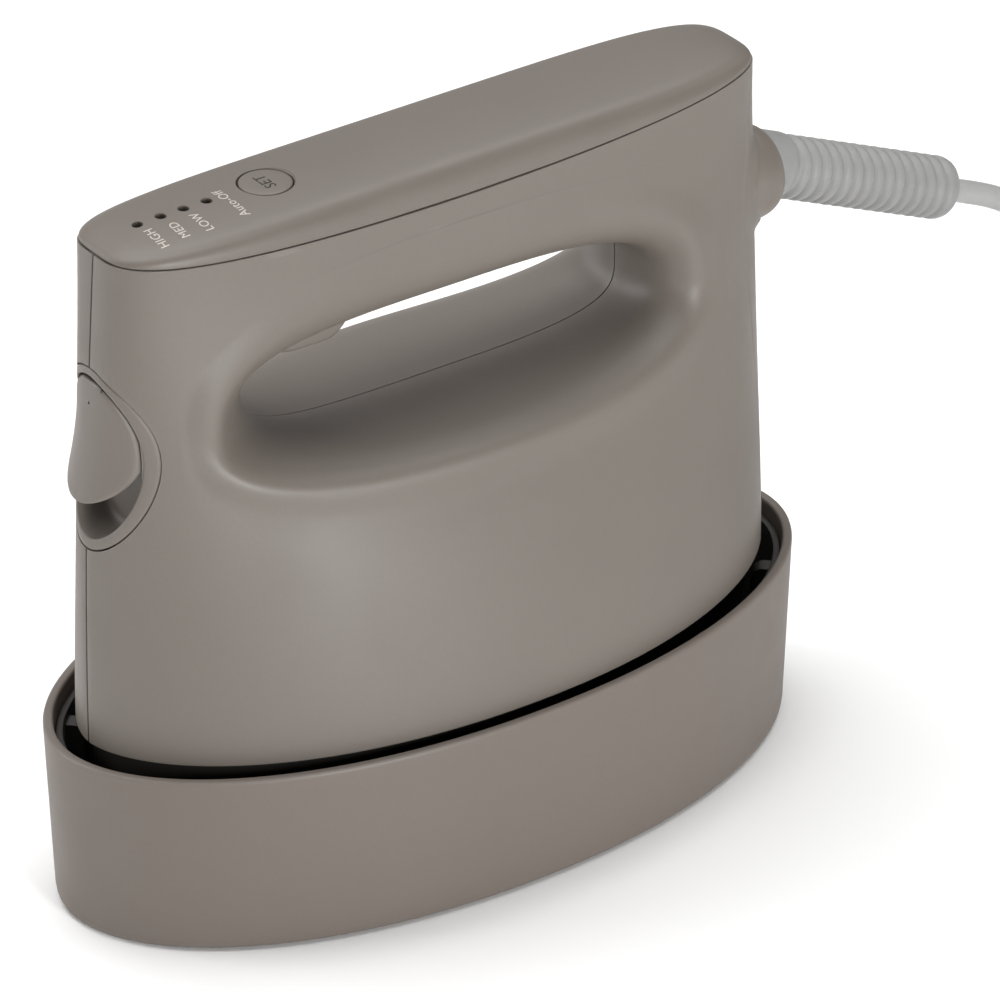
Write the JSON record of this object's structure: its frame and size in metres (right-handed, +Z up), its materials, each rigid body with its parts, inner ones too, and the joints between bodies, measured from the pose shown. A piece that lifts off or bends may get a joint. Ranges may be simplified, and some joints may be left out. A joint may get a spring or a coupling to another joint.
{
  "type": "garment steam iron",
  "caption": "Handheld garment steam iron with a hand hole, steam trigger, water filler lid and set button, standing on its sole in an oval stand, with a mains cord and plug.",
  "frame": {"origin": "middle of the stand's flat underside, on the surface it rests on", "axes": "+X from the nose with the water filler to the tail with the cord, +Y across the iron to its right half, +Z up"},
  "size_m": [0.3151, 0.1092, 0.141],
  "materials": {
    "housing": "fine satin texture, warm grey",
    "cover": "fine satin texture, warm grey",
    "stand": "fine satin texture, warm grey",
    "black_plastic": "matte black",
    "cord": "smooth light grey sheath",
    "cord_fittings": "moulded light grey",
    "tie": "ribbed white strap",
    "blades": "plain",
    "soleplate": "fine polished, coated",
    "heater": "plain",
    "steel": "plain",
    "seal": "plain",
    "tank": "translucent",
    "hose": "silicone",
    "pump": "plain",
    "ceramic": "ceramic sleeve",
    "board": "circuit board",
    "lamp": "dark tinted lens"
  },
  "bodies": {
    "stand": {"stand_shell": "stand", "stand_liner": "black_plastic", "stand_base": "black_plastic", "base_screw_1": "steel", "base_screw_2": "steel", "base_screw_3": "steel", "base_screw_4": "steel", "cord_coil": "cord", "cord_tie": "tie", "cord_tail": "cord", "plug_body": "cord_fittings", "plug_blade_1": "blades", "plug_blade_2": "blades"},
    "iron": {"left_shell": "housing", "right_shell": "housing", "rear_cover": "housing", "cord_socket": "housing", "filler_bezel": "housing", "top_cover": "cover", "heat_skirt": "black_plastic", "cord_clamp": "black_plastic", "set_switch": "black_plastic", "trigger_switch": "black_plastic", "cord_lead": "cord", "cord_guard": "cord_fittings", "soleplate": "soleplate", "chamber_cover": "soleplate", "heating_element": "heater", "thermostat": "heater", "trigger_pin": "steel", "lid_hinge_pin": "steel", "trigger_spring": "steel", "chamber_gasket": "seal", "water_tank": "tank", "tank_lid": "tank", "filler_neck": "tank", "suction_hose": "hose", "steam_hose": "hose", "pump": "pump", "thermal_fuse": "ceramic", "control_board": "board", "indicator_led_1": "lamp", "indicator_led_2": "lamp", "indicator_led_3": "lamp", "indicator_led_4": "lamp"},
    "filler_lid": {"filler_lid": "housing", "filler_seal": "seal"},
    "set_button": {"set_button": "cover"},
    "steam_trigger": {"steam_trigger": "housing"}
  },
  "joints": [
    {"name": "iron_lift", "type": "slide", "parent": "stand", "child": "iron", "axis": [0, 0, 1], "range_m": [0, 0.07]},
    {"name": "filler_lid_hinge", "type": "hinge", "parent": "iron", "child": "filler_lid", "pos_m": [-0.0715, 0, 0.1109], "axis": [0, 1, 0], "range_deg": [0, 95]},
    {"name": "set_button_press", "type": "slide", "parent": "iron", "child": "set_button", "axis": [0, 0, -1], "range_m": [0, 0.0008], "stiffness_N_per_m": 400},
    {"name": "steam_trigger_press", "type": "hinge", "parent": "iron", "child": "steam_trigger", "pos_m": [-0.0365, 0, 0.1158], "axis": [0, -1, 0], "range_deg": [0, 8], "stiffness_Nm_per_rad": 0.8, "deforming": ["trigger_spring"]}
  ]
}
